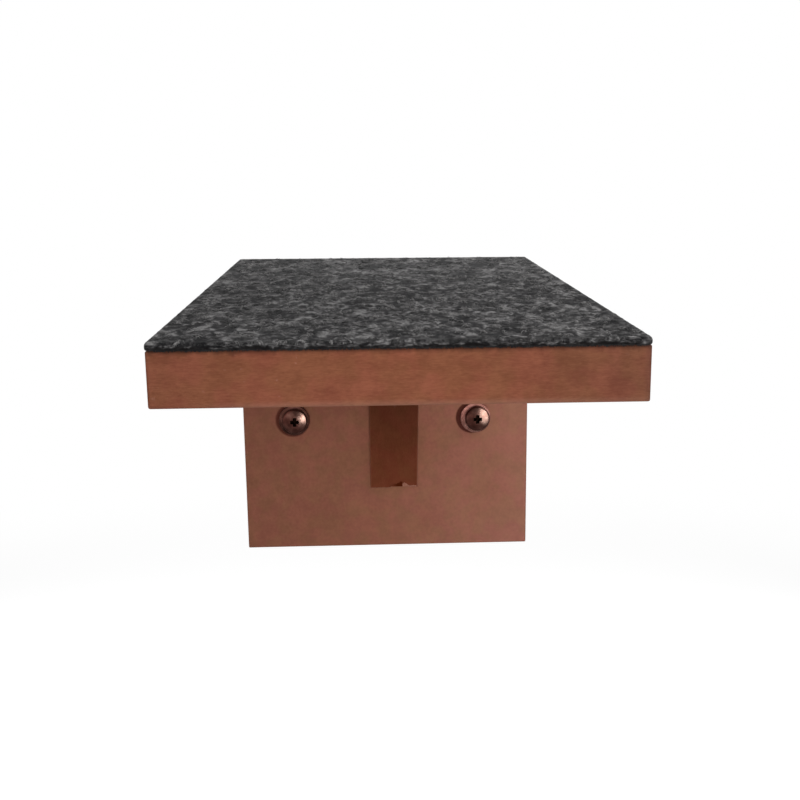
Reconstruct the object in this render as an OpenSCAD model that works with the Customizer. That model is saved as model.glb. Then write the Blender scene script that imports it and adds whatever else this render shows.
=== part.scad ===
// Wall step for a cat: a felt-covered tread board on an upright wall plate,
// stiffened underneath by a triangular brace. Millimetres.
// The wall is the plane y = 0 and the step stands out from it along -Y. +Z is up.
// The origin lies on the wall, midway between the two wall screws.

/* [Tread board] */
// Width of the board and of the wall plate, along the wall
board_w = 150; // [140:1:400]
// How far the board stands out from the wall
board_d = 300; // [120:1:450]
// Thickness of the board
board_t = 17.5; // [12:0.5:25]
// Radius sanded onto the edges of the board and of the wall plate
edge_r = 1; // [0.5:0.1:2.5]

/* [Felt cover] */
// Thickness of the felt
felt_t = 2.5; // [1.5:0.1:6]
// Rounding of the felt's corners, seen from above
felt_corner_r = 2.5; // [0.5:0.1:12]

/* [Wall plate] */
// Height of the plate, down from the board's underside
plate_h = 133; // [110:1:200]
// Thickness of the plate
plate_t = 17.5; // [12:0.5:25]

/* [Brace] */
// Thickness of the brace
brace_t = 25; // [16:0.5:40]
// Height of the brace, down from the board's underside
brace_h = 100; // [85:1:125]
// Depth of the brace along the board's underside, out from the plate
brace_d = 50; // [42:1:110]
// Depth that is left at the brace's blunt lower tip
brace_tip = 3; // [1:0.5:10]
// How far the brace sits to the right of the middle, seen from the room
brace_shift = 3.5; // [-12:0.5:12]
// Flat sanded onto the two long front edges of the brace
brace_ease = 0.6; // [0.2:0.1:2]

/* [Wall screws] */
// Distance from the plate's sides to the wall screws
wall_screw_inset = 27; // [14:1:44]
// Depth of the wall screws below the board's underside
screw_drop = 63; // [30:1:90]
// Outside diameter of the wall screw's thread
wall_screw_d = 6; // [4.5:0.5:8]
// Length of the wall screw under its head
wall_screw_l = 60; // [50:1:100]
// Pitch of the wall screw's thread
wall_screw_pitch = 3; // [2.2:0.1:4]
// Diameter of the wall screw's domed head
head_d = 13; // [11:0.5:15]
// Height of the domed head
head_h = 4.8; // [3.8:0.1:6.5]
// Height of the straight rim below the dome
head_rim_h = 0.8; // [0.3:0.1:1.5]
// Width of the cross recess across its wings, domed head
head_recess_w = 6; // [4:0.1:7]
// Depth of the cross recess, domed head
head_recess_depth = 3; // [2:0.1:3.5]
// Outside diameter of the washer
washer_d = 16; // [14:0.5:24]
// Thickness of the washer
washer_t = 1.5; // [1:0.1:3]

/* [Assembly screws] */
// Outside diameter of the thread
wood_screw_d = 4; // [3:0.5:5]
// Length of the screw, its sunk head included
wood_screw_l = 40; // [32:1:45]
// Pitch of the thread
wood_screw_pitch = 1.8; // [1.4:0.1:2.5]
// Diameter of the sunk head
sunk_head_d = 8; // [6.5:0.5:9]
// Distance from the plate's sides to the outer screws into its top edge
plate_screw_inset = 15; // [10:1:30]
// Free height between the brace's upper screws and the one from behind
brace_screw_space = 7; // [3:1:15]

/* [Hidden] */
$fn = 96;

// How far a cutting body runs past the face that it opens
overrun = 1;
// Play round a screw in the hole that it passes through
passing_play = 0.3;
// Play round a thread in its pilot hole
pilot_play = 0.1;
// Play between a sunk head and its countersink
seat_play = 0.1;
// Depth of a sunk head's top below the wood's face
sunk_depth = 0.5;
// Depth of a pilot hole past the screw's point
pilot_spare = 1.5;
// Plain shank of the wall screw behind the wall's face
plain_behind_wall = 2;
// Height of the straight rim of a sunk head, above its cone
sunk_rim = 0.4;
// Flat on the crest of each thread ring, wall screw
wall_crest_w = 0.3;
// Flat on the crest of each thread ring, assembly screw
wood_crest_w = 0.2;
// Bevel round the washer's faces
washer_bevel = 0.25;

// Thread core, plain shank and point, as shares of the thread's diameter
core_share = 0.64;
shank_share = 0.7;
point_share = 1.2;
// Width of a thread flank, as a share of the pitch
flank_share = 0.22;
// Threaded length of an assembly screw, as a share of its length
thread_share = 0.6;
// Cross recess of a sunk head, as shares of the head's diameter
sunk_recess_share = 0.55;
sunk_recess_depth_share = 0.25;
// Thickness of a recess's wing and width of its floor, as shares of its width
wing_share = 0.24;
recess_floor_share = 0.35;
// Places of the brace's upper screws, as shares of its depth
brace_front_share = 0.6;
brace_rear_share = 0.24;

board_bottom = screw_drop;
board_top = board_bottom + board_t;
plate_w = board_w;
plate_front = -plate_t;
plate_mid = -plate_t / 2;

// Places along the wall of the wall screws, and of the screws into the plate's top edge
wall_screw_x = plate_w / 2 - wall_screw_inset;
plate_screw_x = plate_w / 2 - plate_screw_inset;
// How deep the upper screws reach below the board's underside
upper_reach = wood_screw_l + sunk_depth - board_t;
// Height of the brace's screw from behind
back_screw_z = board_bottom - upper_reach - wood_screw_d - brace_screw_space;

sunk_cone_h = (sunk_head_d - wood_screw_d * shank_share) / 2;
plain_in_plate = washer_t + plate_t + plain_behind_wall;
brace_slope = atan2(brace_d - brace_tip, brace_h);

WOOD = [0.53, 0.32, 0.24];
FELT = [0.29, 0.29, 0.29];
COPPER = [0.49, 0.28, 0.2];
ZINC = [0.74, 0.69, 0.52];

// Rectangle with rounded corners, centred
module rounded_rect(w, h, r) {
    square([w - 2 * r, h], center = true);
    square([w, h - 2 * r], center = true);
    for (sx = [-1, 1], sy = [-1, 1])
        translate([sx * (w / 2 - r), sy * (h / 2 - r)])
            circle(r);
}

// Block of w x d x h with every edge rounded, centred on the origin
module eased_block(w, d, h, r) {
    intersection() {
        linear_extrude(h, center = true)
            rounded_rect(w, d, r);
        rotate([90, 0, 0])
            linear_extrude(d, center = true)
                rounded_rect(w, h, r);
        rotate([90, 0, 90])
            linear_extrude(w, center = true)
                rounded_rect(d, h, r);
    }
}

// Outline of a ringed thread with its point, from z = -from down to z = -to
function thread_outline(d, pitch, crest_w, from, to) =
    let (
        core = d * core_share / 2,
        crest = d / 2,
        flank = pitch * flank_share,
        point = d * point_share,
        rings = floor((to - point - from) / pitch)
    )
    concat(
        [[core, -from]],
        [
            for (i = [0:rings - 1])
            let (mid = from + (i + 0.5) * pitch)
            each [
                [core, -(mid - crest_w / 2 - flank)],
                [crest, -(mid - crest_w / 2)],
                [crest, -(mid + crest_w / 2)],
                [core, -(mid + crest_w / 2 + flank)]
            ]
        ],
        [[core, point - to], [0, -to]]
    );

// Cross-shaped recess, open at z = 0 and narrowing downwards
module cross_recess(w, depth) {
    intersection() {
        translate([0, 0, -depth])
            cylinder(h = depth + overrun, d1 = w * recess_floor_share, d2 = w);
        for (turn = [0, 90])
            rotate([0, 0, turn])
                translate([0, 0, (overrun - depth) / 2])
                    cube([w, w * wing_share, depth + overrun], center = true);
    }
}

// Assembly screw: top of the sunk head at z = 0, point downwards
module wood_screw() {
    shank_r = wood_screw_d * shank_share / 2;
    plain = wood_screw_l * (1 - thread_share);
    color(ZINC)
        difference() {
            rotate_extrude()
                polygon(concat(
                    [
                        [0, 0],
                        [sunk_head_d / 2, 0],
                        [sunk_head_d / 2, -sunk_rim],
                        [shank_r, -sunk_rim - sunk_cone_h],
                        [shank_r, -plain]
                    ],
                    thread_outline(wood_screw_d, wood_screw_pitch, wood_crest_w, plain, wood_screw_l)
                ));
            cross_recess(sunk_head_d * sunk_recess_share, sunk_head_d * sunk_recess_depth_share);
        }
}

// Countersunk hole for an assembly screw through wood of thickness t.
// The wood's face is at z = 0, and the hole runs down.
module passing_hole(t) {
    hole_d = wood_screw_d + 2 * passing_play;
    cone_d = sunk_head_d + 2 * seat_play;
    cone_h = (cone_d - hole_d) / 2;
    cone_top = -sunk_depth - sunk_rim;
    translate([0, 0, -t - overrun])
        cylinder(h = t + overrun - sunk_depth, d = hole_d);
    translate([0, 0, cone_top - cone_h])
        cylinder(h = cone_h, d1 = hole_d, d2 = cone_d);
    translate([0, 0, cone_top])
        cylinder(h = overrun - cone_top, d = cone_d);
}

// Pilot hole for an assembly screw in the second piece of wood, whose face is at
// z = 0. The screw reaches to z = -reach.
module pilot_hole(reach) {
    translate([0, 0, -reach - pilot_spare])
        cylinder(h = reach + pilot_spare + overrun, d = wood_screw_d + 2 * pilot_play);
}

// Stations of the screws: what is passed in has the wood's face at z = 0 and
// points along -Z
module at_plate_screw(side) {
    translate([side * plate_screw_x, plate_mid, board_top])
        children();
}

module at_brace_screw(place_share) {
    translate([brace_shift, plate_front - brace_d * place_share, board_top])
        children();
}

module at_back_screw() {
    translate([brace_shift, 0, back_screw_z])
        rotate([-90, 0, 0])
            children();
}

// Station of a wall screw: the plate's front face is at z = 0, and the room lies
// along +Z
module at_wall_screw(side) {
    translate([side * wall_screw_x, plate_front, 0])
        rotate([90, 0, 0])
            children();
}

module tread_board() {
    color(WOOD)
        difference() {
            translate([0, -board_d / 2, board_bottom + board_t / 2])
                eased_block(board_w, board_d, board_t, edge_r);
            for (side = [-1, 0, 1])
                at_plate_screw(side)
                    passing_hole(board_t);
            for (place_share = [brace_front_share, brace_rear_share])
                at_brace_screw(place_share)
                    passing_hole(board_t);
        }
}

module felt_cover() {
    color(FELT)
        translate([0, -board_d / 2, board_top])
            linear_extrude(felt_t)
                rounded_rect(board_w, board_d, felt_corner_r);
}

module wall_plate() {
    color(WOOD)
        difference() {
            translate([0, plate_mid, board_bottom - plate_h / 2])
                eased_block(plate_w, plate_t, plate_h, edge_r);
            for (side = [-1, 0, 1])
                at_plate_screw(side)
                    translate([0, 0, -board_t])
                        pilot_hole(upper_reach);
            for (side = [-1, 1])
                at_wall_screw(side)
                    translate([0, 0, -plate_t - overrun])
                        cylinder(h = plate_t + 2 * overrun, d = wall_screw_d + 2 * passing_play);
            at_back_screw()
                passing_hole(plate_t);
        }
}

module support_brace() {
    // The brace's side, seen along the wall
    module side_outline() {
        polygon([
            [plate_front, board_bottom],
            [plate_front - brace_d, board_bottom],
            [plate_front - brace_tip, board_bottom - brace_h],
            [plate_front, board_bottom - brace_h]
        ]);
    }
    // The brace cut square to its sloping front, with the front edges eased
    module front_outline() {
        polygon([
            [-brace_t / 2, brace_h + brace_d],
            [-brace_t / 2, brace_ease],
            [-brace_t / 2 + brace_ease, 0],
            [brace_t / 2 - brace_ease, 0],
            [brace_t / 2, brace_ease],
            [brace_t / 2, brace_h + brace_d]
        ]);
    }
    color(WOOD)
        difference() {
            translate([brace_shift, 0, 0])
                intersection() {
                    rotate([90, 0, 90])
                        linear_extrude(brace_t, center = true)
                            side_outline();
                    translate([0, plate_front - brace_tip, board_bottom - brace_h])
                        rotate([brace_slope, 0, 0])
                            linear_extrude(2 * (brace_h + brace_d), center = true)
                                front_outline();
                }
            for (place_share = [brace_front_share, brace_rear_share])
                at_brace_screw(place_share)
                    translate([0, 0, -board_t])
                        pilot_hole(upper_reach);
            at_back_screw()
                translate([0, 0, -plate_t])
                    pilot_hole(wood_screw_l + sunk_depth - plate_t);
        }
}

module plate_screw(side) {
    at_plate_screw(side)
        translate([0, 0, -sunk_depth])
            wood_screw();
}

module brace_screw(place_share) {
    at_brace_screw(place_share)
        translate([0, 0, -sunk_depth])
            wood_screw();
}

module brace_screw_back() {
    at_back_screw()
        translate([0, 0, -sunk_depth])
            wood_screw();
}

module wall_screw(side) {
    dome_h = head_h - head_rim_h;
    dome_r = (pow(head_d / 2, 2) + pow(dome_h, 2)) / (2 * dome_h);
    shank_r = wall_screw_d * shank_share / 2;
    color(COPPER)
        at_wall_screw(side)
            translate([0, 0, washer_t])
                difference() {
                    union() {
                        intersection() {
                            cylinder(h = head_h, d = head_d);
                            translate([0, 0, head_h - dome_r])
                                sphere(dome_r);
                        }
                        rotate_extrude()
                            polygon(concat(
                                [[0, head_rim_h], [shank_r, head_rim_h], [shank_r, -plain_in_plate]],
                                thread_outline(
                                    wall_screw_d, wall_screw_pitch, wall_crest_w,
                                    plain_in_plate, wall_screw_l
                                )
                            ));
                    }
                    translate([0, 0, head_h])
                        cross_recess(head_recess_w, head_recess_depth);
                }
}

module washer(side) {
    bore_r = wall_screw_d / 2 + passing_play;
    color(COPPER)
        at_wall_screw(side)
            rotate_extrude()
                polygon([
                    [bore_r, 0],
                    [washer_d / 2, 0],
                    [washer_d / 2, washer_t - washer_bevel],
                    [washer_d / 2 - washer_bevel, washer_t],
                    [bore_r, washer_t]
                ]);
}

tread_board();
felt_cover();
wall_plate();
support_brace();
plate_screw(-1);  // plate_screw_left
plate_screw(0);  // plate_screw_middle
plate_screw(1);  // plate_screw_right
brace_screw(brace_front_share);  // brace_screw_front
brace_screw(brace_rear_share);  // brace_screw_rear
brace_screw_back();
wall_screw(-1);  // wall_screw_left
wall_screw(1);  // wall_screw_right
washer(-1);  // washer_left
washer(1);  // washer_right
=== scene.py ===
"""Looks of a wall step for a cat: felt on a stained board, plate and brace, with copper screws."""

import math
import random

import bmesh
import bpy
from mathutils import Matrix, Vector, noise


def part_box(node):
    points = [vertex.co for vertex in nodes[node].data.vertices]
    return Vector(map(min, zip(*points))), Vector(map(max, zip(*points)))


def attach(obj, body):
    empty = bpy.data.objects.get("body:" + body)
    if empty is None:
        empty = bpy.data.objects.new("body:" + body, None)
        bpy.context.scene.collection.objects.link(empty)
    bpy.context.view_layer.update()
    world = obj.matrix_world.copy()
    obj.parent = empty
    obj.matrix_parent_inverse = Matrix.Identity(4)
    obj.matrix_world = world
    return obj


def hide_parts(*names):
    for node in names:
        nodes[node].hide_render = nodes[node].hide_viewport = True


MM = 0.001

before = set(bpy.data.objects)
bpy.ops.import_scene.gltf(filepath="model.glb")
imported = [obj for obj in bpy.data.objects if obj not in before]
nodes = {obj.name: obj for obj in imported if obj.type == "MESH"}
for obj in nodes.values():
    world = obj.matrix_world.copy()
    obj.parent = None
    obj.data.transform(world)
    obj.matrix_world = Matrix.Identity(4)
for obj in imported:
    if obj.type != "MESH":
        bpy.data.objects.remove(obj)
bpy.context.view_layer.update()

board_low, board_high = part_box("tread_board")
plate_low, plate_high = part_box("wall_plate")
brace_low, brace_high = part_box("support_brace")
felt_low, felt_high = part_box("felt_cover")

# Distance of the wall screws from the middle of the step
SCREW_X = 48 * MM
# Height of their heads over the plate, and radius of the domed crown
HEAD_HEIGHT, CROWN_R = 6.3 * MM, 13 * MM
HEAD_FRONT = plate_low.y - HEAD_HEIGHT
# Mean height of the felt's lumpy top
FELT_TOP = felt_high.z - 0.25 * MM
# Depth of the brace's blunt lower tip
BRACE_TIP = 3 * MM
# Vertices closer than this become one
MERGED = 0.001 * MM
# Seed of the felt's fibres and of its sway
SEED = 41


# Camera

def make_camera():
    """A camera in front of the step, a little above it and to the left."""
    frame_px, focal_px, centre_px = 800, 1251.7, (440.16, 466.22)
    place = Vector((-10.97, -666.42, 136.02)) * MM
    yaw, pitch, roll = 0.06065, 0.245, -0.0039
    ahead = Vector((
        math.sin(yaw) * math.cos(pitch), math.cos(yaw) * math.cos(pitch), -math.sin(pitch)))
    level = Vector((math.cos(yaw), -math.sin(yaw), 0))
    upright = level.cross(ahead)
    right = level * math.cos(roll) + upright * math.sin(roll)
    up = upright * math.cos(roll) - level * math.sin(roll)
    data = bpy.data.cameras.new("camera")
    data.sensor_width = 36
    data.lens = focal_px * data.sensor_width / frame_px
    data.shift_x = 0.5 - centre_px[0] / frame_px
    data.shift_y = centre_px[1] / frame_px - 0.5
    camera = linked("camera", data)
    aim = Matrix((right, up, -ahead)).transposed().to_4x4()
    camera.matrix_world = Matrix.Translation(place) @ aim
    bpy.context.scene.camera = camera


# Shader nodes

class Wire:
    """A socket whose value changes over a surface. An operator on it adds a Math node."""

    def __init__(self, finish, socket):
        self.finish, self.socket = finish, socket

    def math(self, operation, first, second=0.0):
        return self.finish.node("ShaderNodeMath", {"operation": operation}, {0: first, 1: second})

    def __add__(self, other):
        return self.math("ADD", self, other)

    def __sub__(self, other):
        return self.math("SUBTRACT", self, other)

    def __rsub__(self, other):
        return self.math("SUBTRACT", other, self)

    def __mul__(self, other):
        return self.math("MULTIPLY", self, other)

    def __truediv__(self, other):
        return self.math("DIVIDE", self, other)

    def __rtruediv__(self, other):
        return self.math("DIVIDE", other, self)

    def __pow__(self, other):
        return self.math("POWER", self, other)

    def __abs__(self):
        return self.math("ABSOLUTE", self)

    __radd__, __rmul__ = __add__, __mul__

    def least(self, other):
        return self.math("MINIMUM", self, other)

    def most(self, other):
        return self.math("MAXIMUM", self, other)

    def rise(self, low, high):
        """0 where the value is at low, 1 where it is at high, and a smooth step between."""
        return self.finish.node(
            "ShaderNodeMapRange", {"interpolation_type": "SMOOTHSTEP"},
            {"Value": self, "From Min": low, "From Max": high})


class Finish:
    """The nodes of a material, or of the world."""

    # Sockets of a Mix node that mixes colours
    SHARE, FIRST, SECOND, MIXED = 0, 6, 7, 2

    def __init__(self, tree):
        self.tree = tree
        tree.nodes.clear()

    def node(self, kind, settings=None, values=None, out=0):
        """Adds a node: its settings come first, then the values or the links of its sockets."""
        made = self.tree.nodes.new(kind)
        for key, value in (settings or {}).items():
            if key == "stops":
                elements = made.color_ramp.elements
                while len(elements) < len(value):
                    elements.new(1)
                for element, (position, colour) in zip(elements, value):
                    element.position, element.color = position, (*colour, 1)
            else:
                setattr(made, key, value)
        for key, value in (values or {}).items():
            if isinstance(value, Wire):
                self.tree.links.new(value.socket, made.inputs[key])
            else:
                made.inputs[key].default_value = value
        return Wire(self, made.outputs[out]) if made.outputs else None

    def place(self):
        """Position on the piece, in metres."""
        return self.node("ShaderNodeTexCoord", out="Object")

    def axes(self, place):
        """The x, y and z of a position."""
        parts = self.node("ShaderNodeSeparateXYZ", None, {0: place})
        return [Wire(self, parts.socket.node.outputs[i]) for i in range(3)]

    def mapped(self, place, scale, turn=(0, 0, 0)):
        """A position, scaled and turned. A pattern shrinks along an axis as its scale grows."""
        return self.node(
            "ShaderNodeMapping", None, {"Vector": place, "Scale": scale, "Rotation": turn})

    def noise(self, place, size, detail=3.0, roughness=0.5, distortion=0.0):
        """Cloudy noise with features of about that size, in metres."""
        return self.node(
            "ShaderNodeTexNoise", None,
            {"Vector": place, "Scale": 0.5 / size, "Detail": detail, "Roughness": roughness,
             "Distortion": distortion})

    def ramp(self, value, stops):
        """A colour that follows the value, by stops of (value, colour)."""
        return self.node("ShaderNodeValToRGB", {"stops": stops}, {0: value})

    def mix(self, share, first, second, mode="MIX"):
        """Mixes two colours: the first where the share is 0, the second where it is 1."""
        first, second = (
            (*colour, 1) if isinstance(colour, tuple) else colour for colour in (first, second))
        return self.node(
            "ShaderNodeMix", {"data_type": "RGBA", "blend_type": mode},
            {self.SHARE: share, self.FIRST: first, self.SECOND: second}, self.MIXED)

    def times(self, first, second):
        """Multiplies two colours."""
        return self.mix(1.0, first, second, "MULTIPLY")

    def bump(self, height, depth, strength):
        """Bump of that depth in metres where the height goes from 0 to 1."""
        return self.node(
            "ShaderNodeBump", None, {"Strength": strength, "Distance": depth, "Height": height})

    def shade(self, **values):
        """Ends a material in one shader. Underscores in the names stand for spaces."""
        named = {key.replace("_", " "): value for key, value in values.items()}
        shader = self.node("ShaderNodeBsdfPrincipled", None, named)
        self.node("ShaderNodeOutputMaterial", None, {"Surface": shader})


def new_finish(name):
    material = bpy.data.materials.new(name)
    material.use_nodes = True
    return material, Finish(material.node_tree)


# Stained wood

# Linear colours at the left end, the middle and the right end of a piece
SAWN = [(0.184, 0.0605, 0.0345), (0.2265, 0.0745, 0.0405), (0.172, 0.0620, 0.0372)]
FACE = [(0.196, 0.073, 0.045), (0.234, 0.092, 0.057), (0.278, 0.116, 0.081)]
SHADED = [(0.1265, 0.0323, 0.0143)] * 3
# Where the stain lies thick or thin, and in its specks and flecks
THICK, THIN = (0.05, 0.02, 0.015), (0.8, 0.35, 0.2)
SPECK, FLECK = (0.06, 0.02, 0.01), (0.42, 0.21, 0.17)
# On edges that are handled, and where they are rubbed
HANDLED, RUBBED = (0.075, 0.025, 0.016), (0.30, 0.13, 0.08)


def flattened(f, place, axis, times):
    """A position in which patterns are that many times flatter along one axis."""
    return f.mapped(place, tuple(times if i == axis else 1.0 for i in range(3)))


def sawn_share(f, place, low, high, layers):
    """0 on the two sides of a piece that are a face of the fibreboard, and 1 on the sawn sides,
    which show its layers. layers is the axis that they are stacked along."""
    across = f.axes(place)[layers]
    depth_in = (across - low[layers]).least(high[layers] - across)
    return depth_in.rise(0.1 * MM, 0.7 * MM)


def worn_edges(f, place, low, high, colour, wear_share):
    """Handled and rubbed edges, about 1 mm wide, on a piece that fills the box from low to high."""
    middle, half = (low + high) / 2, (high - low) / 2
    gaps = [half[i] - abs(axis - middle[i]) for i, axis in enumerate(f.axes(place))]
    nearest = gaps[0].least(gaps[1]).least(gaps[2])
    farthest = gaps[0].most(gaps[1]).most(gaps[2])
    second = gaps[0] + gaps[1] + gaps[2] - nearest - farthest
    on_edge = 1 - second.rise(0.3 * MM, 1.2 * MM)
    rubbed = on_edge * f.noise(place, 4 * MM, roughness=0.6).rise(0.52, 0.66)
    return f.mix(rubbed * wear_share, f.mix(on_edge * 0.16, colour, HANDLED), RUBBED)


def stained_wood(name, low, high, layers, face_tones, sawn_tones, wear_share, gloss, marks_and_painted_light,
                 grain=1.0, top_shade=1.0):
    """Stained and varnished fibreboard, in a piece that fills the box from low to high, with its
    layers stacked along the axis layers. marks is a function that adds what only this piece has,
    painted light and shade among it, and top_shade is how dark painted shade makes its top against
    its foot."""
    material, f = new_finish(name)
    place = f.place()
    x, _, z = f.axes(place)
    sawn = sawn_share(f, place, low, high, layers)

    thin_layers = flattened(f, place, layers, 7.0)
    clouds = f.noise(place, 14 * MM, detail=4, distortion=0.4)
    blotches = f.noise(place, 3.6 * MM, roughness=0.55, distortion=0.3)
    bands = f.noise(thin_layers, 9 * MM, detail=4, roughness=0.6, distortion=0.2)
    fibres = f.noise(thin_layers, 1.6 * MM, roughness=0.65)
    streaks = f.noise(flattened(f, place, layers, 4.0), 0.8 * MM, detail=2, roughness=0.6)
    specks = f.noise(place, 0.45 * MM, detail=2, roughness=0.6)
    hues = f.noise(f.mapped(place, (1, 1, 1), (0.4, 0.2, 0.9)), 4.5 * MM, detail=2)

    along = (x - low.x) / (high.x - low.x) + (clouds - 0.5) * 0.5
    face_colour, sawn_colour = (
        f.ramp(along, list(zip((0.0, 0.5, 1.0), tones))) for tones in (face_tones, sawn_tones))
    greenish, reddish = (0.965, 1.03, 0.96), (1.035, 0.97, 1.03)
    colour = f.times(f.mix(sawn, face_colour, sawn_colour),
                     f.mix(hues.rise(0.36, 0.64), greenish, reddish))
    tone = blotches * 0.34 + bands * 0.2 + fibres * 0.16 + streaks * 0.3
    colour = f.mix(tone.rise(0.35, 0.65),
                   f.mix(0.18 * grain, colour, THICK), f.mix(0.085 * grain, colour, THIN))
    colour = f.mix(specks.rise(0.62, 0.72) * sawn * 0.1, colour, SPECK)
    flecks = f.noise(place, 1.3 * MM, detail=2).rise(0.66, 0.74) * clouds.rise(0.5, 0.62)
    colour = f.mix(flecks * sawn * 0.22, colour, FLECK)
    # Painted shade, darker towards the top
    if top_shade < 1:
        height = (z - low.z) / (high.z - low.z) + (clouds - 0.5) * 0.25
        colour = f.mix(height.rise(-0.05, 0.55), colour, f.times(colour, (top_shade,) * 3))
    colour = worn_edges(f, place, low, high, colour, wear_share)
    colour = marks_and_painted_light(f, place, colour)

    rough = 0.5 + sawn * 0.16 + (blotches - 0.5) * 0.18
    relief = fibres * 0.35 * sawn + specks * (0.25 + 0.4 * sawn) + blotches * 0.3
    f.shade(Base_Color=colour, Roughness=rough, Normal=f.bump(relief, 0.1 * MM, 0.4),
            Specular_IOR_Level=gloss)
    return material


def board_marks_and_painted_light(f, place, colour):
    """The board is darker under the felt's edge, from painted shade and the felt's fuzz, and darker
    at its right end. Its lower edge has a painted highlight, most of all in the middle."""
    x, _, z = f.axes(place)
    fuzz = f.noise(f.mapped(place, (1, 1, 0.5)), 1.1 * MM, detail=2, roughness=0.6)
    ragged_z = z + (fuzz - 0.5) * 2.4 * MM
    # Painted shade under the felt's overhang, together with the felt's fuzz
    felt_shade_and_fuzz = ragged_z.rise(board_high.z - 2.1 * MM, board_high.z - 0.1 * MM)
    colour = f.mix(felt_shade_and_fuzz * 0.6, colour, (0.05, 0.022, 0.015))
    # Painted highlight along the lower edge, strongest in the middle
    near, far = 35 * MM, 72 * MM
    highlight_share = 1 - abs(x).rise(near, far) + x.rise(near, far) * 0.55
    painted_edge_highlight = 1 - z.rise(board_low.z + 0.5 * MM, board_low.z + 2.4 * MM)
    colour = f.mix(painted_edge_highlight * highlight_share * 0.16, colour, (0.42, 0.25, 0.19))
    right_end = x.rise(board_high.x - 2.4 * MM, board_high.x)
    return f.mix(right_end * 0.25, colour, (0.07, 0.045, 0.040))


def plate_painted_shade(f, place, colour):
    """The plate's front has a painted shadow at the left of each washer, and painted shade below
    the board at the left, which makes it a little darker there."""
    x, y, z = f.axes(place)

    def disc(middle, inner_r, outer_r):
        """1 nearer to that place on the screws' line than inner_r, 0 further than outer_r."""
        return 1 - (((x - middle) ** 2 + z * z) ** 0.5).rise(inner_r, outer_r)

    # Painted shadow at the left of each washer, as cast by its head
    painted_washer_shadow = (disc(-SCREW_X - 1.2 * MM, 8.3 * MM, 9.6 * MM) * 0.85
            + disc(SCREW_X - 2.7 * MM, 8.0 * MM, 8.9 * MM) * 0.92)
    in_front = 1 - y.rise(plate_high.y - 1.5 * MM, plate_high.y - 0.5 * MM)
    # Painted shade below the board, at the left
    painted_board_shade = z.rise(-10 * MM, 7 * MM) * (1 - x.rise(-25 * MM, 10 * MM))
    colour = f.mix(painted_board_shade * in_front * 0.13, colour, (0.03, 0.012, 0.008))
    sawn = sawn_share(f, place, plate_low, plate_high, 1)
    return f.mix(painted_washer_shadow * (1 - sawn) * in_front, colour, (0.042, 0.006, 0.003))


def brace_chip_and_painted_shade(f, place, colour):
    """The brace's chip shows the raw, fluffy board where the mesh's attribute is above 0, and
    painted shade in the dent where it is below 0."""
    bare = f.node("ShaderNodeAttribute", {"attribute_name": "bare"}, out="Fac")
    fluff = f.noise(place, 0.5 * MM, roughness=0.7).rise(0.35, 0.65)
    fluffy = f.mix(fluff, (0.32, 0.145, 0.097), (0.44, 0.215, 0.155))
    colour = f.mix(bare.rise(0.0, 1.0) * (0.8 + 0.2 * fluff), colour, fluffy)
    # Painted shade in the dent
    return f.mix((0 - bare).rise(0.0, 1.0), colour, (0.062, 0.010, 0.002))


# Felt and metal

def felt_colours(f, place):
    """Colour of the mottled charcoal felt, whose fibres run a little more along the board, with
    the tone and the strands that it comes from. Below the top the pattern is drawn out.
    Painted sheen makes its back lighter, and painted shade makes its middle and front darker."""
    x, y, z = f.axes(place)
    smoothed = f.node(
        "ShaderNodeCombineXYZ", None, {0: x, 1: y, 2: z.least(FELT_TOP - 0.4 * MM)})
    tufts = f.noise(f.mapped(smoothed, (1.0, 0.45, 2.6)), 1.5 * MM, distortion=0.8)
    clumps = f.noise(f.mapped(smoothed, (1.0, 0.5, 2.6), (0, 0, 0.4)), 0.8 * MM, detail=2,
                     roughness=0.6, distortion=1.2)
    clouds = f.noise(f.mapped(smoothed, (1.0, 0.4, 2.6)), 4.5 * MM, distortion=0.5)
    strands = None
    for turn, size in ((0.3, 0.5), (1.25, 0.45), (2.2, 0.55), (2.75, 0.5)):
        stretched = f.mapped(smoothed, (1.0, 0.16, 2.0), (0, 0, turn))
        line = f.noise(stretched, size * MM, detail=2, distortion=2.2).rise(0.55, 0.68)
        strands = line if strands is None else strands.most(line)

    # -1 at the front edge and 0 at the wall
    along = y / (felt_high.y - felt_low.y)
    broad = along.rise(-0.75, -0.1) * 0.2
    tone = tufts * (0.5 - broad) + clumps * 0.2 + clouds * (broad + 0.3)
    mottled = f.ramp(tone, [
        (0.41, (0.006, 0.006, 0.007)), (0.457, (0.020, 0.019, 0.020)),
        (0.50, (0.053, 0.051, 0.052)), (0.543, (0.112, 0.108, 0.109)),
        (0.60, (0.26, 0.254, 0.253))])
    strand_colour = f.mix(tufts, (0.02, 0.02, 0.02), (0.15, 0.146, 0.144))
    colour = f.mix(strands * 0.2, mottled, strand_colour)
    white, black = (1, 1, 1), (0, 0, 0)
    # Painted sheen, lighter towards the back
    colour = f.mix(along.rise(-0.55, -0.2) * 0.026, colour, white)
    # Painted shade, darker in the middle and towards the front
    painted_middle_shade = 1 - abs(along + 0.5).rise(0.15, 0.5)
    return f.mix(painted_middle_shade * 0.17 - along * 0.13, colour, black), tone, strands


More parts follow.
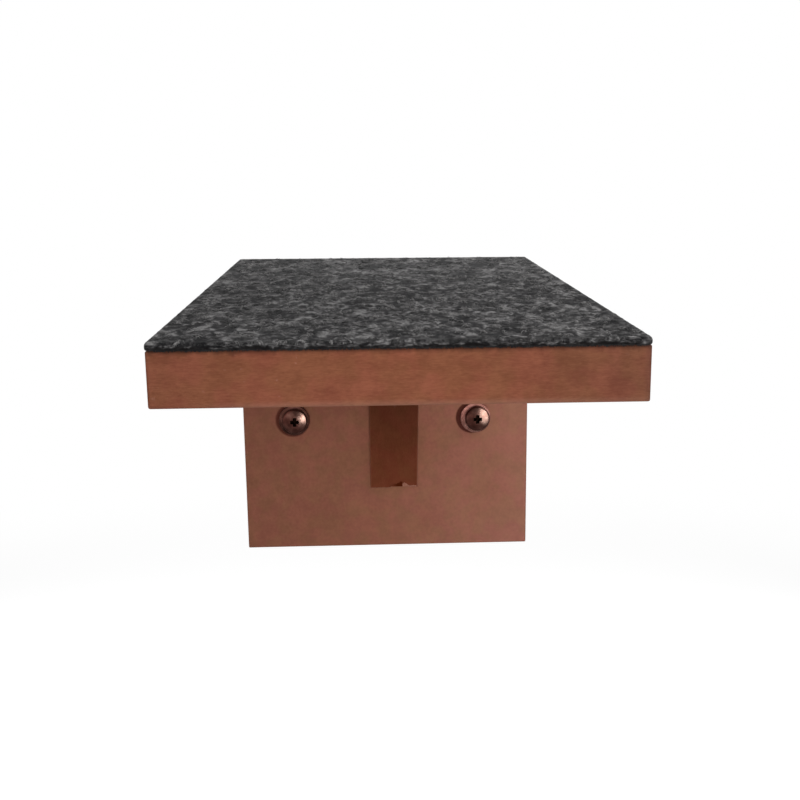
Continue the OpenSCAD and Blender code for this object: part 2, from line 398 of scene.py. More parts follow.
def felt_finish():
    """The felt's material. Its cut side is dark, partly as cut felt and partly from painted shade,
    with a ragged upper limit.
    """
    material, f = new_finish("charcoal_felt_sheet")
    place = f.place()
    colour, tone, strands = felt_colours(f, place)
    waves = (f.noise(place, 6 * MM, detail=2) - 0.5) * 3.0 * MM
    tatters = (f.noise(place, 0.9 * MM, detail=2, roughness=0.6) - 0.5) * 2.2 * MM
    height = f.axes(place)[2] + waves + tatters
    # The cut side is darker as cut felt, and from painted shade
    shaded_cut_side = 1 - height.rise(felt_low.z + 0.25 * MM, felt_low.z + 1.15 * MM)
    colour = f.mix(shaded_cut_side * 0.91, colour, (0.006, 0.005, 0.005))
    grit = f.noise(place, 0.35 * MM, detail=2, roughness=0.6)
    normal = f.bump(tone * 0.5 + strands * 0.3 + grit * 0.2, 0.35 * MM, 0.6)
    f.shade(Base_Color=colour, Roughness=0.95, Normal=normal, Specular_IOR_Level=0.03,
            Sheen_Weight=0.045, Sheen_Roughness=0.6)
    return material


def fibre_finish(name, dark, light):
    """Felt fibres whose tone goes from dark to light in places."""
    material, f = new_finish(name)
    shade = f.noise(f.place(), 2.6 * MM, roughness=0.6).rise(0.35, 0.65)
    f.shade(Base_Color=f.mix(shade, dark, light), Roughness=0.8, Specular_IOR_Level=0.2)
    return material


def copper_finish(name, tones, painted_bright_from):
    """Dark copper plating, a little duller in places, with painted shade in the recesses of the
    heads. Painted reflection makes it brighter from the height painted_bright_from over the middle,
    and darker towards the bottom."""
    material, f = new_finish(name)
    place = f.place()
    x, y, z = f.axes(place)
    off_axis = ((abs(x) - SCREW_X) ** 2 + z * z) ** 0.5
    below_crown = y - HEAD_FRONT - off_axis * off_axis / (2 * CROWN_R)
    sunk = below_crown.rise(0.12 * MM, 0.5 * MM) * (1 - off_axis.rise(2.9 * MM, 3.2 * MM))
    stain = f.noise(place, 2.2 * MM, roughness=0.6)
    scuffs = f.noise(f.mapped(place, (1, 1, 6), (0, 0.6, 0)), 0.7 * MM, detail=2, roughness=0.6)
    plating = f.ramp(stain.rise(0.3, 0.7), list(zip((0.0, 0.6, 1.0), tones)))
    # Painted reflection, brighter towards the top and darker towards the bottom, and painted shade
    # in the recess
    reflection_dim, reflection_bright, recess_shade = (0.6, 0.6, 0.6), (2.8, 2.6, 2.6), (0.010, 0.005, 0.003)
    painted_reflection = f.mix(z.rise(-0.8 * painted_bright_from, painted_bright_from), reflection_dim, reflection_bright)
    colour = f.mix(sunk, f.times(plating, painted_reflection), recess_shade)
    rough = 0.32 + scuffs.rise(0.45, 0.75) * 0.06 + sunk * 0.5
    f.shade(Base_Color=colour, Metallic=1 - sunk, Roughness=rough, Specular_IOR_Level=0.0)
    return material


def zinc_finish():
    """Yellow-passivated zinc, of the hidden screws."""
    material, f = new_finish("passivated_zinc")
    place = f.place()
    tint = f.noise(place, 1.5 * MM, roughness=0.6).rise(0.3, 0.7)
    colour = f.mix(tint, (0.46, 0.40, 0.24), (0.66, 0.60, 0.42))
    rough = 0.32 + f.noise(place, 0.6 * MM, detail=2) * 0.2
    f.shade(Base_Color=colour, Metallic=1.0, Roughness=rough)
    return material


# Making pieces

def linked(name, data):
    """Puts an object with that data into the scene."""
    made = bpy.data.objects.new(name, data)
    bpy.context.scene.collection.objects.link(made)
    return made


def mesh_data(name, mesh):
    """Turns a bmesh into mesh data, and frees it."""
    data = bpy.data.meshes.new(name)
    mesh.to_mesh(data)
    mesh.free()
    return data


def evaluated_data(piece):
    """Mesh data of a curve, or of a piece with its modifiers applied."""
    bpy.context.view_layer.update()
    depsgraph = bpy.context.evaluated_depsgraph_get()
    return bpy.data.meshes.new_from_object(piece.evaluated_get(depsgraph))


def put_finish(piece, material):
    piece.data.materials.clear()
    piece.data.materials.append(material)


def finished_piece(name, data, material, smooth=True):
    """A piece with that mesh data and material."""
    for face in data.polygons:
        face.use_smooth = smooth
    piece = linked(name, data)
    put_finish(piece, material)
    return piece


def new_verts(grown):
    """The vertices among what an operator made."""
    return [made for made in grown["geom"] if isinstance(made, bmesh.types.BMVert)]


def within(value, low, high):
    return max(low, min(high, value))


# The brace

def damage_at(x):
    """Size and depth in mm of the damage to the brace's foot, x mm from its left side, and how
    much raw board it shows; a value below 0 is painted shade in the dent instead. The dent widens
    to the right, up to a pale chip."""
    dent_start, chip_start, chip_middle, chip_end = 10.5, 17.1, 18.2, 24.8
    ragged = noise.noise(Vector((x / 1.3, 3, 8))) + 0.3 * noise.noise(Vector((x / 0.6, 9, 4)))
    if dent_start < x < chip_start:
        in_dent = x - dent_start
        return 1.5 + 0.4 * in_dent + 0.5 * ragged, 1.0, -min(1.0, in_dent / 4.5)
    if chip_start <= x < chip_end:
        return max(3.5 - 0.9 * abs(x - chip_middle), 1.3) + 0.5 * ragged, 0.9, 0.75
    return 0.35 + 0.3 * ragged, 0.25, 0.3


def brace_blank():
    """The plain brace with its two long front edges eased, and the direction down its front."""
    top_front = Vector((brace_low.y, brace_high.z))
    foot_front = Vector((plate_low.y - BRACE_TIP, brace_low.z))
    down = (foot_front - top_front).normalized()
    slope = Vector((0, down.x, down.y))
    side = [Vector((brace_low.x, y, z)) for y, z in (
        (plate_low.y, brace_high.z), top_front, foot_front, (plate_low.y, brace_low.z))]
    mesh = bmesh.new()
    face = mesh.faces.new([mesh.verts.new(spot) for spot in side])
    grown = bmesh.ops.extrude_face_region(mesh, geom=[face])
    bmesh.ops.translate(mesh, vec=(brace_high.x - brace_low.x, 0, 0), verts=new_verts(grown))
    bmesh.ops.recalc_face_normals(mesh, faces=mesh.faces)
    eased = [edge for edge in mesh.edges
             if abs((edge.verts[1].co - edge.verts[0].co).normalized().dot(slope)) > 0.99]
    bmesh.ops.bevel(mesh, geom=eased, offset=0.6 * MM, segments=2, profile=0.5, affect="EDGES",
                    material=-1)
    return mesh, slope


def chipped_brace(material):
    """The brace with its chipped foot. Cuts give the mesh the points there that then move."""
    mesh, slope = brace_blank()
    corner = Vector((0, plate_low.y - BRACE_TIP, brace_low.z))
    up_front_mm = (0.3, 0.6, 1.0, 1.4, 1.8, 2.3, 2.8, 3.3, 3.8, 4.4, 5.0)
    along_foot_mm = (0.25, 0.5, 0.8, 1.2, 1.7)
    cuts = [(corner - slope * away * MM, slope) for away in up_front_mm]
    cuts += [(corner + Vector((0, away * MM, 0)), Vector((0, 1, 0))) for away in along_foot_mm]
    x, spacing, eased_edge = brace_low.x + 0.8 * MM, 0.4 * MM, 0.7 * MM
    while x < brace_high.x - eased_edge:
        cuts.append((Vector((x, 0, 0)), Vector((1, 0, 0))))
        x += spacing
    for spot, way in cuts:
        bmesh.ops.bisect_plane(mesh, geom=mesh.verts[:] + mesh.edges[:] + mesh.faces[:],
                               plane_co=spot, plane_no=way, dist=MERGED)
    bare = mesh.verts.layers.float.new("bare")
    inward = Vector((0, 1, 0.3)).normalized()
    for vert in mesh.verts:
        size, depth, bareness_and_dent_shade = damage_at((vert.co.x - brace_low.x) / MM)
        off = (Vector((0, vert.co.y, vert.co.z)) - corner).length / MM
        if off < size:
            vert.co += inward * depth * (1 - off / size) ** 0.8 * MM
            vert.co.y = min(vert.co.y, plate_low.y)
            vert[bare] = bareness_and_dent_shade
    piece = finished_piece("brace_body", mesh_data("brace_body", mesh), material)
    piece.data.set_sharp_from_angle(angle=math.radians(25))
    return piece


# The felt

def felt_relief(x, y):
    """Height of the felt's lumps at a place on its top, in metres. They are lower at its sides."""
    spot = Vector((x, y, 0)) / MM
    lumps = noise.noise(Vector((spot.x / 6.0, spot.y / 9.0, 0)))
    tufts = noise.noise(Vector((spot.x / 2.1 + 7, spot.y / 3.4, 1)))
    to_side = min(x - felt_low.x, felt_high.x - x, felt_high.y - y)
    return (0.2 * lumps + 0.24 * tufts) * within(to_side / (5 * MM), 0.15, 1.0) * MM


def felt_blank():
    """The felt with rounded edges and corners, a flat top and a flat underside."""
    size, middle = felt_high - felt_low, (felt_high + felt_low) / 2
    spacing, rim, corner, proud = 0.85 * MM, 0.9 * MM, 1.5 * MM, 0.25 * MM
    wide, deep = size.x / 2 - rim + proud, size.y / 2 - rim + proud
    inner_corner = corner - rim
    inner_x, inner_y = wide - inner_corner, deep - inner_corner
    mesh = bmesh.new()
    bmesh.ops.create_grid(
        mesh, x_segments=round(2 * wide / spacing), y_segments=round(2 * deep / spacing), size=1)
    bmesh.ops.scale(mesh, vec=(wide, deep, 1), verts=mesh.verts)
    for vert in mesh.verts:
        over_x, over_y = abs(vert.co.x) - inner_x, abs(vert.co.y) - inner_y
        if over_x > 0 and over_y > 0:
            pull = max(over_x, over_y) / math.hypot(over_x, over_y)
            vert.co.x = math.copysign(inner_x + over_x * pull, vert.co.x)
            vert.co.y = math.copysign(inner_y + over_y * pull, vert.co.y)
    top_z = FELT_TOP - middle.z
    bmesh.ops.translate(mesh, vec=(0, 0, top_z), verts=mesh.verts)

    # Rings of the rounded side: how far out, in rims, and how far down, in mm
    rings = [(0.38, 0.07), (0.70, 0.26), (0.92, 0.55), (1.02, 0.95), (1.04, 1.3), (1.02, 1.7),
             (0.93, 2.05)]
    side = [(out * rim, down * MM) for out, down in rings]
    side.append((0.8 * rim, top_z - (felt_low.z - middle.z)))
    rim_edges = [edge for edge in mesh.edges if edge.is_boundary]
    last_out, last_down = 0.0, 0.0
    for out, down in side:
        grown = bmesh.ops.extrude_edge_only(mesh, edges=rim_edges)["geom"]
        rim_edges = [g for g in grown if isinstance(g, bmesh.types.BMEdge) and g.is_boundary]
        for vert in {v for edge in rim_edges for v in edge.verts}:
            x, y = vert.co.x, vert.co.y
            heading = Vector((
                x - within(x, -inner_x, inner_x), y - within(y, -inner_y, inner_y), 0))
            vert.co += heading.normalized() * (out - last_out)
            vert.co.z -= down - last_down
        last_out, last_down = out, down
    bmesh.ops.holes_fill(mesh, edges=rim_edges, sides=len(rim_edges) + 1)
    bmesh.ops.translate(mesh, vec=middle, verts=mesh.verts)
    return mesh


def felt_sheet():
    """The felt with a lumpy top, an uneven cut side and a frayed lower edge at the front."""
    mesh = felt_blank()
    # noise_vector would otherwise change from run to run
    noise.seed_set(SEED)
    sway, sway_size = 0.14 * MM, 2.4 * MM
    past_board, cut_side_top = board_low.y - 0.05 * MM, felt_high.z - 0.4 * MM
    fray_top = felt_low.z + 0.9 * MM
    for vert in mesh.verts:
        above = within((vert.co.z - felt_low.z) / (2.0 * MM), 0.0, 1.0)
        swayed = noise.noise_vector(vert.co / sway_size) * sway
        vert.co.z += felt_relief(vert.co.x, vert.co.y) * above
        vert.co.x += swayed.x * above
        vert.co.y += swayed.y * above
        if vert.co.y < past_board and vert.co.z < cut_side_top:
            lumpy = noise.noise(Vector((vert.co.x / (1.7 * MM), vert.co.z / (1.2 * MM), 6)))
            vert.co.y += 0.16 * lumpy * MM
        if vert.co.y < past_board and vert.co.z < fray_top:
            frayed = (noise.noise(Vector((vert.co.x / (1.3 * MM), 5, 2)))
                      + 0.7 * noise.noise(Vector((vert.co.x / (4.5 * MM), 1, 2))))
            vert.co.z -= (0.12 + 0.4 * max(-0.5, frayed)) * MM
    bmesh.ops.recalc_face_normals(mesh, faces=mesh.faces)
    return finished_piece("felt_sheet", mesh_data("felt_sheet", mesh), felt_finish())


def fibre_piece(name, paths, thickness, material):
    """Short fibres along the paths, as thin closed tubes in one mesh, with pointed ends."""
    curve = bpy.data.curves.new(name, "CURVE")
    curve.dimensions = "3D"
    curve.bevel_depth = thickness / 2
    curve.bevel_resolution = 0
    curve.use_fill_caps = True
    for path in paths:
        spline = curve.splines.new("POLY")
        spline.points.add(len(path) - 1)
        for i, (point, spot) in enumerate(zip(spline.points, path)):
            point.co = (*spot, 1)
            point.radius = 0.35 if i in (0, len(path) - 1) else 1.0
    tubes = linked(name + "_tubes", curve)
    data = evaluated_data(tubes)
    data.name = name
    bpy.data.objects.remove(tubes)
    return finished_piece(name, data, material)


def lying_fibre(draw, spot, heading, length, lift):
    """Path of a fibre that leaves the felt's top, bends a little and goes back into it."""
    x, y = spot
    margin, steps = 0.4 * MM, 4
    bend = draw.gauss(0, 0.45)
    reach = length * draw.uniform(0.6, 1.4)
    rise = lift * draw.uniform(0.4, 1.6)
    path = []
    for i in range(steps + 1):
        arch = 1 - (2 * i / steps - 1) ** 2
        path.append(Vector((x, y, FELT_TOP + felt_relief(x, y) + (arch - 0.3) * rise)))
        heading += bend
        x += math.cos(heading) * reach / steps
        x = within(x, felt_low.x + margin, felt_high.x - margin)
        y += math.sin(heading) * reach / steps
    return path


def wisp(draw, fibres, length, lift, spread):
    """Several fibres that lie close together, the same way."""
    side_margin, front_margin, back_margin = 2.5 * MM, 1.0 * MM, 5.0 * MM
    x = draw.uniform(felt_low.x + side_margin, felt_high.x - side_margin)
    y = draw.uniform(felt_low.y + front_margin, felt_high.y - back_margin)
    heading = draw.uniform(0, math.tau)
    return [
        lying_fibre(draw, (x + draw.gauss(0, spread), y + draw.gauss(0, spread)),
                    heading + draw.gauss(0, 0.4), length, lift)
        for _ in range(fibres)]


def edge_fibre(draw, length, highest):
    """Path of a fibre that sticks out of the felt's cut edge, at the front or at a side."""
    margin, rooted, sides_share, steps = 2.5 * MM, 0.2 * MM, 0.2, 3
    x, y = draw.uniform(felt_low.x + margin, felt_high.x - margin), felt_low.y
    out = Vector((0, -1, 0))
    if draw.random() < sides_share:
        y = draw.uniform(felt_low.y + margin, felt_high.y - margin)
        x, out = draw.choice((
            (felt_low.x, Vector((-1, 0, 0))), (felt_high.x, Vector((1, 0, 0)))))
    spot = Vector((x, y, felt_low.z + draw.uniform(0.1 * MM, highest))) - out * rooted
    side = out.cross(Vector((0, 0, 1)))
    heading = out * 0.4 + side * draw.gauss(0, 0.8) + Vector((0, 0, draw.gauss(-0.6, 0.5)))
    heading.normalize()
    reach = length * draw.uniform(0.5, 1.5)
    path = []
    for _ in range(steps + 1):
        path.append(spot.copy())
        spot = spot + heading * reach / steps
        heading = (heading - out * 0.45 + side * draw.gauss(0, 0.3)).normalized()
    return path


def hanging_wisp(draw, fibres, length):
    """Fibres that hang from the felt's lower front edge over the wood."""
    margin, proud, rooted, steps = 1.5 * MM, 0.12 * MM, 0.5 * MM, 3
    x = draw.uniform(felt_low.x + margin, felt_high.x - margin)
    paths = []
    for _ in range(fibres):
        spot = Vector((
            x + draw.gauss(0, 0.3) * MM, felt_low.y - proud, felt_low.z + rooted))
        lean, reach = draw.gauss(0, 0.5), length * draw.uniform(0.5, 1.3)
        path = []
        for step in range(steps + 1):
            path.append(spot.copy())
            outward = -0.12 if step == 0 else 0.0
            spot = spot + Vector((lean, outward, -1)) * reach / steps
        paths.append(path)
    return paths


def draped_wisp(draw, fibres):
    """Fibres that lie over the rounded front edge of the felt, from its top down its cut side."""
    # Steps of such a fibre, in mm behind the front edge and above the felt's top
    over = [(1.6, -0.02), (0.9, 0.10), (0.25, -0.12), (-0.12, -0.55), (-0.32, -1.1)]
    first_back, margin = over[0][0], 8 * MM
    x = draw.uniform(felt_low.x + margin, felt_high.x - margin)
    lean = draw.gauss(0, 2.0)
    reach = draw.uniform(0.2, 1.7) * MM
    paths = []
    for _ in range(fibres):
        start, lean = x + draw.gauss(0, 0.35) * MM, lean + draw.gauss(0, 0.25)
        own = reach * draw.uniform(0.7, 1.3)
        path = []
        for back, up in over:
            if -up * MM > own + 0.3 * MM:
                break
            path.append(Vector((start + lean * (first_back - back) * MM * 0.5,
                                felt_low.y + back * MM, felt_high.z - 0.2 * MM + up * MM)))
        paths.append(path)
    return paths


def felt_fibres():
    """The felt's fibres in three pieces: light and grey ones on its top and over its front edge,
    grey and dark ones out of its cut edges, and dark ones that hang from its lower edge."""
    draw = random.Random(SEED)
    stray = 0.7 * MM
    light = [path for _ in range(980) for path in wisp(draw, 5, 2.4 * MM, 0.75 * MM, 0.3 * MM)]
    grey = [path for _ in range(900) for path in wisp(draw, 4, 2.6 * MM, 0.6 * MM, 0.35 * MM)]
    grey += [edge_fibre(draw, stray, 1.7 * MM) for _ in range(300)]
    light += [path for _ in range(16) for path in draped_wisp(draw, 6)]
    grey += [path for _ in range(250) for path in draped_wisp(draw, 4)]
    dark = [edge_fibre(draw, stray, 0.7 * MM) for _ in range(700)]
    dark += [path for _ in range(520) for path in hanging_wisp(draw, 4, 0.9 * MM)]
    return [
        fibre_piece("felt_fibres_" + word, paths, thickness,
                    fibre_finish(word + "_fibre", darkest, lightest))
        for word, paths, thickness, darkest, lightest in (
            ("light", light, 0.11 * MM, (0.07, 0.07, 0.07), (0.36, 0.35, 0.345)),
            ("grey", grey, 0.12 * MM, (0.025, 0.025, 0.025), (0.085, 0.083, 0.083)),
            ("dark", dark, 0.13 * MM, (0.008, 0.008, 0.009), (0.022, 0.021, 0.021)))]


# Screws and washers

# Radii of a wall screw's head, shank, core and thread, and its pitch
HEAD_R, SHANK_R, CORE_R, THREAD_R, PITCH = 6.5 * MM, 2.1 * MM, 1.92 * MM, 3.0 * MM, 3.0 * MM
# Heights over the plate's face at which its shank ends, its point starts and it ends itself
SHANK_END, POINT_START, SCREW_TIP = -19.0 * MM, -51.3 * MM, -58.5 * MM


def turned(mesh, outline):
    """Spins an outline of (radius, height) points round Z and closes it."""
    verts = [mesh.verts.new((radius, 0, height)) for radius, height in outline]
    edges = [mesh.edges.new(pair) for pair in zip(verts, verts[1:])]
    bmesh.ops.spin(
        mesh, geom=verts + edges, cent=(0, 0, 0), axis=(0, 0, 1), angle=math.tau, steps=64,
        use_merge=True)
    bmesh.ops.remove_doubles(mesh, verts=mesh.verts, dist=MERGED)
    bmesh.ops.recalc_face_normals(mesh, faces=mesh.faces)


def arc(centre, radius, start, end, steps):
    """Points of an arc in the (radius, height) plane, angles in degrees."""
    angles = [math.radians(start + (end - start) * i / steps) for i in range(steps + 1)]
    return [(centre[0] + radius * math.cos(a), centre[1] + radius * math.sin(a)) for a in angles]


def placed_on_plate(mesh, side, off_centre=0.0):
    """Stands a screw or washer on the plate's front face: its height runs out into the room."""
    spot = Vector((side * SCREW_X - off_centre, plate_low.y, 0))
    mesh.transform(Matrix.Translation(spot) @ Matrix.Rotation(math.pi / 2, 4, "X"))


def helix(mesh, root_r, crest_r, pitch, start, end):
    """A screw thread from height start down to end, shallower at both ends."""
    turns, turn_steps = (start - end) / pitch, 36
    steps = round(turns * turn_steps)
    half_root, half_crest = 0.3 * pitch, 0.07 * pitch
    earlier = set(mesh.verts)
    outline = [(root_r, half_root), (crest_r, half_crest), (crest_r, -half_crest),
               (root_r, -half_root)]
    verts = [mesh.verts.new((radius, 0, start + height)) for radius, height in outline]
    edges = [mesh.edges.new(pair) for pair in zip(verts, verts[1:] + verts[:1])]
    face = mesh.faces.new(verts)
    bmesh.ops.spin(
        mesh, geom=verts + edges + [face], cent=(0, 0, 0), axis=(0, 0, 1),
        angle=math.tau * turns, steps=steps, dvec=(0, 0, (end - start) / steps))
    for vert in set(mesh.verts) - earlier:
        radius = math.hypot(vert.co.x, vert.co.y)
        if radius > root_r * 1.01:
            from_start, from_end = (start - vert.co.z) / pitch, (vert.co.z - end) / (2 * pitch)
            depth_share = within(min(from_start, from_end) + 0.1, 0.05, 1.0)
            wanted = root_r + (crest_r - root_r) * depth_share
            vert.co.x *= wanted / radius
            vert.co.y *= wanted / radius
    bmesh.ops.recalc_face_normals(mesh, faces=mesh.faces)


def cut_cross(piece, top, width, depth):
    """Cuts the cross recess into a head whose top is at that height. It narrows downwards."""
    arm, half, floor_share, overrun = width / 2, 0.2 * width, 0.42, 0.6 * MM
    quarter = [Vector((arm, half, 0)), Vector((half, half, 0)), Vector((half, arm, 0))]
    outline = [
        Matrix.Rotation(math.pi / 2 * i, 3, "Z") @ spot for i in range(4) for spot in quarter]
    mesh = bmesh.new()
    face = mesh.faces.new([mesh.verts.new(spot) for spot in outline])
    low_verts = new_verts(bmesh.ops.extrude_face_region(mesh, geom=[face]))
    high_verts = [vert for vert in mesh.verts if vert not in low_verts]
    bmesh.ops.scale(mesh, vec=(floor_share, floor_share, 1), verts=low_verts)
    bmesh.ops.translate(mesh, vec=(0, 0, -depth), verts=low_verts)
    bmesh.ops.translate(mesh, vec=(0, 0, overrun), verts=high_verts)
    bmesh.ops.translate(mesh, vec=(0, 0, top), verts=mesh.verts)
    bmesh.ops.recalc_face_normals(mesh, faces=mesh.faces)
    cutter = linked("recess", mesh_data("recess", mesh))
    cut = piece.modifiers.new("recess", "BOOLEAN")
    cut.operation, cut.solver, cut.object = "DIFFERENCE", "EXACT", cutter
    made = evaluated_data(piece)
    piece.modifiers.clear()
    piece.data = made
    bpy.data.objects.remove(cutter)


def screw_outline():
    """Outline of a wall screw without its thread, from the crown down to the tip."""
    under, shoulder_r = 1.5 * MM, 1.3 * MM
    lean = math.asin((HEAD_R - shoulder_r) / (CROWN_R - shoulder_r))
    crown_end = 90 - math.degrees(lean)
    crown_middle = HEAD_HEIGHT - CROWN_R
    shoulder_middle = (
        HEAD_R - shoulder_r, crown_middle + (CROWN_R - shoulder_r) * math.cos(lean))
    outline = arc((0, crown_middle), CROWN_R, 90, crown_end, 9)
    outline += arc(shoulder_middle, shoulder_r, crown_end, -4, 9)[1:]
    outline += [
        (HEAD_R, under + 0.3 * MM), (HEAD_R - 0.1 * MM, under + 0.1 * MM),
        (HEAD_R - 0.3 * MM, under), (SHANK_R + 0.3 * MM, under), (SHANK_R, under - 0.3 * MM),
        (SHANK_R, SHANK_END), (CORE_R, SHANK_END - 0.3 * MM), (CORE_R, POINT_START),
        (0.35 * MM, SCREW_TIP + 0.5 * MM), (0, SCREW_TIP)]
    return [(max(0, radius), height) for radius, height in outline]


def domed_screw(name, side, material):
    """A wall screw: domed head with a cross recess, shank, helical thread and point."""
    mesh = bmesh.new()
    turned(mesh, screw_outline())
    piece = finished_piece(name, mesh_data(name, mesh), material)
    cut_cross(piece, HEAD_HEIGHT, width=5.4 * MM, depth=2.6 * MM)

    run_in = 1.2 * MM
    mesh = bmesh.new()
    mesh.from_mesh(piece.data)
    bmesh.ops.remove_doubles(mesh, verts=mesh.verts, dist=MERGED)
    helix(mesh, CORE_R * 0.97, THREAD_R, PITCH, SHANK_END - run_in, POINT_START - run_in)
    placed_on_plate(mesh, side)
    mesh.to_mesh(piece.data)
    mesh.free()
    for face in piece.data.polygons:
        face.use_smooth = True
    piece.data.set_sharp_from_angle(angle=math.radians(40))
    soften = piece.modifiers.new("soft edges", "BEVEL")
    soften.width, soften.segments, soften.limit_method = 0.1 * MM, 2, "ANGLE"
    soften.angle_limit = math.radians(50)
    soften.harden_normals = True
    return piece


def flat_washer(name, side, material):
    """A plain washer with softly stamped edges, which hangs a little left of its screw."""
    bore, outer, thick, soft = 3.3 * MM, 8.0 * MM, 1.5 * MM, 0.25 * MM
    off_centre = (0.6 + 0.2 * side) * MM
    outline = [(bore, soft)]
    outline += arc((bore + soft, thick - soft), soft, 180, 90, 4)
    outline += arc((outer - soft, thick - soft), soft, 90, 0, 4)
    outline += [(outer, 0), (bore + soft, 0), (bore, soft)]
    mesh = bmesh.new()
    turned(mesh, outline)
    placed_on_plate(mesh, side, off_centre)
    piece = finished_piece(name, mesh_data(name, mesh), material)
    piece.data.set_sharp_from_angle(angle=math.radians(50))
    return piece


# Surroundings

def seen_share(f):
    """1 for a ray from the camera, or one reflected or let through by metal or glass."""
    camera, glossy, through = (
        f.node("ShaderNodeLightPath", out=f"Is {kind} Ray")
        for kind in ("Camera", "Glossy", "Transmission"))
    return camera.most(glossy).most(through)


def light_world():
    """White where it is seen, straight or in metal, and a plain soft light for all else."""
    soft_light = 0.27
    world = bpy.data.worlds.new("studio")
    world.use_nodes = True
    bpy.context.scene.world = world
    f = Finish(world.node_tree)
    seen = seen_share(f)
    background = f.node(
        "ShaderNodeBackground", None,
        {"Color": (1, 1, 1, 1), "Strength": seen + (1 - seen) * soft_light})
    f.node("ShaderNodeOutputWorld", None, {"Surface": background})


def make_floor():
    """A pale floor well below the step. It is seen as white but for the step's shadow."""
    half_size, height = 9, -0.62
    mesh = bmesh.new()
    bmesh.ops.create_grid(mesh, x_segments=1, y_segments=1, size=half_size)
    bmesh.ops.translate(mesh, vec=(0, 0, height), verts=mesh.verts)
    material, f = new_finish("pale_floor")
    x, y, _ = f.axes(f.place())
    far = ((x * x + y * y) ** 0.5).rise(0.7, 2.2)
    seen = seen_share(f)
    pale, bleached = (0.5, 0.5, 0.5), (2.5, 2.5, 2.5)
    paper = f.node("ShaderNodeBsdfDiffuse", None, {"Color": f.mix(seen, pale, bleached)})
    white = f.node("ShaderNodeEmission", None, {"Strength": 1.0})
    shown = f.node("ShaderNodeMixShader", None,
                   {0: seen * (0.25 + 0.75 * far), 1: paper, 2: white})
    f.node("ShaderNodeOutputMaterial", None, {"Surface": shown})
    floor = finished_piece("floor", mesh_data("floor", mesh), material, smooth=False)


def soft_lamp(name, way, distance, size, power, aim=(0, -0.12, 0.02), shines_on=None,
              colour=(1, 1, 1)):
    """A soft rectangular lamp that shines at the step from that way. One that shines on a few
    polished pieces only shows as the highlight on them, and the others only light."""
    data = bpy.data.lights.new(name, "AREA")
    data.shape = "RECTANGLE"
    data.size, data.size_y = size
    data.energy, data.color = power, colour
    lamp = linked(name, data)
    way = Vector(way).normalized()
    lamp.matrix_world = (Matrix.Translation(Vector(aim) + way * distance)
                         @ way.to_track_quat("Z", "Y").to_matrix().to_4x4())
    lamp.visible_camera = False
    lamp.visible_diffuse, lamp.visible_glossy = shines_on is None, shines_on is not None
    if shines_on:
        polished = bpy.data.collections.new(name + "_pieces")
        for piece in shines_on:
            polished.objects.link(piece)
        lamp.light_linking.receiver_collection = polished


# The step

make_camera()
light_world()
make_floor()
# Name, way from the step, distance, size and power of each lamp
for lamp in (
        ("front_lamp", (0.0, -1.0, -0.15), 1.5, (0.16, 0.6), 12.8),
        ("top_lamp", (0.1, -0.1, 1.0), 1.1, (1.0, 1.0), 2.9),
        ("window_lamp", (0.62, -0.25, 0.74), 0.42, (0.35, 0.35), 1.1),
        ("left_back_lamp", (-1.0, 0.55, -0.08), 1.5, (1.0, 0.8), 11.0),
        ("right_back_lamp", (1.0, 0.55, -0.08), 1.5, (1.0, 0.8), 8.0)):
    soft_lamp(*lamp)

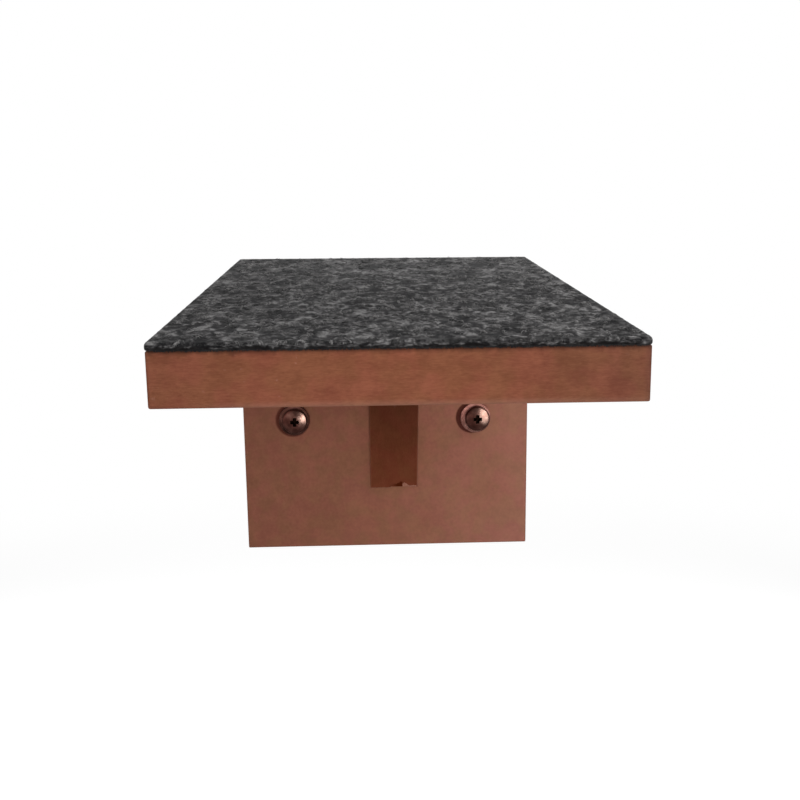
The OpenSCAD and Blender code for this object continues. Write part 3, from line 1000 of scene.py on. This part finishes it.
put_finish(nodes["tread_board"], stained_wood(
    "stained_board", board_low, board_high, layers=2, face_tones=FACE, sawn_tones=SAWN,
    wear_share=0.15, gloss=0.0, marks_and_painted_light=board_marks_and_painted_light))
put_finish(nodes["wall_plate"], stained_wood(
    "stained_plate", plate_low, plate_high, layers=1, face_tones=FACE, sawn_tones=SAWN,
    wear_share=0.12, gloss=0.1, marks_and_painted_light=plate_painted_shade, grain=0.6))
brace = chipped_brace(stained_wood(
    "stained_brace", brace_low, brace_high, layers=0, face_tones=SAWN, sawn_tones=SHADED,
    wear_share=0.1, gloss=0.02, marks_and_painted_light=brace_chip_and_painted_shade, grain=0.45, top_shade=0.55))
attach(brace, "root")
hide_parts("support_brace")

zinc = zinc_finish()
for name in ("plate_screw_left", "plate_screw_middle", "plate_screw_right",
             "brace_screw_front", "brace_screw_rear", "brace_screw_back"):
    put_finish(nodes[name], zinc)

head_copper = copper_finish(
    "dark_copper", [(0.026, 0.0088, 0.0066), (0.039, 0.0143, 0.0110), (0.059, 0.024, 0.0185)],
    painted_bright_from=5.3 * MM)
# The two washers' coppers are a shaded and a lit copy of one finish: painted shade on the left
# washer, painted light on the right one
shaded_left_copper = copper_finish(
    "shaded_washer_copper", [(0.026, 0.011, 0.008), (0.040, 0.017, 0.013), (0.06, 0.027, 0.021)],
    painted_bright_from=8 * MM)
lit_right_copper = copper_finish(
    "washer_copper_with_painted_light", [(0.11, 0.048, 0.038), (0.16, 0.074, 0.060), (0.22, 0.11, 0.092)],
    painted_bright_from=8 * MM)
heads = {}
for word, side, washer_copper_with_painted_light in (("left", -1, shaded_left_copper), ("right", 1, lit_right_copper)):
    heads[side] = domed_screw("domed_screw_" + word, side, head_copper)
    washer = flat_washer("flat_washer_" + word, side, washer_copper_with_painted_light)
    for piece, stood_for in ((heads[side], "wall_screw_" + word), (washer, "washer_" + word)):
        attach(piece, "root")
        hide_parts(stood_for)
for name, side, way, distance, size, power in (
        ("glint_left", -1, (0.715, -0.685, 0.15), 0.5, (0.31, 0.38), 17.2),
        ("glint_right", 1, (0.64, -0.765, 0.02), 0.5, (0.30, 0.50), 18.5),
        ("faint_glint_left", -1, (-0.39, -0.86, 0.33), 0.6, (0.2, 0.2), 0.45)):
    soft_lamp(name, way, distance, size, power, aim=(side * SCREW_X, HEAD_FRONT, 0),
              shines_on=[heads[side]], colour=(0.54, 0.96, 1.0))

felt = felt_sheet()
fibres = felt_fibres()
for piece in (felt, *fibres):
    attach(piece, "root")
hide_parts("felt_cover")

bpy.context.scene.view_settings.view_transform = "Standard"
